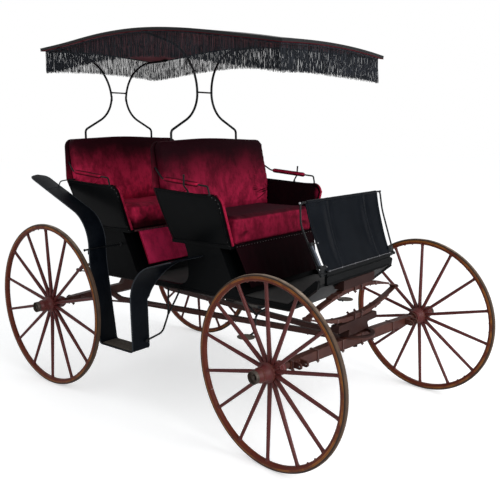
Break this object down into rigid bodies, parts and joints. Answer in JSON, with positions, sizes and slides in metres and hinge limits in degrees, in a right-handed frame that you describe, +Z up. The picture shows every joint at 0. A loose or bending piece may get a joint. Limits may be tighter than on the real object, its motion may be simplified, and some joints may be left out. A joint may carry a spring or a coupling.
{
  "type": "horse-drawn surrey carriage",
  "caption": "Open surrey carriage with fringed canopy, velvet seats, leather fenders, elliptic springs and wooden spoked wheels; the front axle steers.",
  "frame": {"origin": "on the ground, under the middle of the bounding box", "axes": "+Z up, -Y towards the front of the carriage, +X towards its left"},
  "size_m": [1.622, 2.9743, 2.2843],
  "materials": {
    "gear_wood": "red-brown varnish, worn",
    "tyre_rubber": "aged pale rubber",
    "gear_iron": "red-brown paint, worn",
    "black_iron": "black enamel",
    "black_body": "black gloss paint",
    "black_leather": "patent leather, slightly dull",
    "red_velvet": "crushed velvet",
    "canopy_cloth": "coated cloth",
    "fringe_thread": "twisted threads",
    "bright_steel": "polished"
  },
  "bodies": {
    "carriage": {"head_block": "gear_wood", "front_spring": "gear_iron", "rear_spring": "gear_iron", "reaches": "gear_wood", "rear_axle": "gear_wood", "front_bolster": "gear_wood", "rear_bolster": "gear_wood", "body_side_left": "black_body", "body_side_right": "black_body", "floor": "black_body", "body_back_panel": "black_body", "dash_board": "black_body", "dash_leather": "black_leather", "dash_irons": "black_iron", "whip_socket": "bright_steel", "front_seat_box": "black_body", "front_arm_panels": "black_body", "front_arm_linings": "red_velvet", "front_back_board": "black_body", "front_back_cushion": "red_velvet", "front_cushion": "red_velvet", "front_fall": "red_velvet", "front_arm_rails": "black_iron", "front_arm_pads": "red_velvet", "rear_seat_box": "black_body", "rear_arm_panels": "black_body", "rear_arm_linings": "red_velvet", "rear_back_board": "black_body", "rear_back_cushion": "red_velvet", "rear_cushion": "red_velvet", "rear_fall": "red_velvet", "rear_arm_rails": "black_iron", "rear_arm_pads": "red_velvet", "canopy_roof": "canopy_cloth", "canopy_fringe": "fringe_thread", "canopy_irons_front": "black_iron", "canopy_irons_rear": "black_iron", "fender_left": "black_leather", "fender_right": "black_leather", "fender_irons": "black_iron", "front_steps": "black_iron"},
    "front_gear": {"front_axle": "gear_wood", "fifth_wheel_lower": "gear_iron", "shaft_couplings": "gear_iron"},
    "wheel_front_left": {"wheel_front_left": "gear_wood", "tyre_front_left": "tyre_rubber"},
    "wheel_front_right": {"wheel_front_right": "gear_wood", "tyre_front_right": "tyre_rubber"},
    "wheel_rear_left": {"wheel_rear_left": "gear_wood", "tyre_rear_left": "tyre_rubber"},
    "wheel_rear_right": {"wheel_rear_right": "gear_wood", "tyre_rear_right": "tyre_rubber"}
  },
  "joints": [
    {"name": "steering", "type": "hinge", "parent": "carriage", "child": "front_gear", "pos_m": [0, -0.93624, 0.53], "axis": [0, 0, 1], "range_deg": [-18.36, 29.64]},
    {"name": "front_left_wheel_spin", "type": "hinge", "parent": "front_gear", "child": "wheel_front_left", "pos_m": [0.70756, -1.00611, 0.4826], "axis": [0.9952, -0.0983, 0], "continuous": true},
    {"name": "front_right_wheel_spin", "type": "hinge", "parent": "front_gear", "child": "wheel_front_right", "pos_m": [-0.70756, -0.86636, 0.4826], "axis": [0.9952, -0.0983, 0], "continuous": true},
    {"name": "rear_left_wheel_spin", "type": "hinge", "parent": "carriage", "child": "wheel_rear_left", "pos_m": [0.711, 0.95376, 0.5334], "axis": [1, 0, 0], "continuous": true},
    {"name": "rear_right_wheel_spin", "type": "hinge", "parent": "carriage", "child": "wheel_rear_right", "pos_m": [-0.711, 0.95376, 0.5334], "axis": [1, 0, 0], "continuous": true}
  ]
}
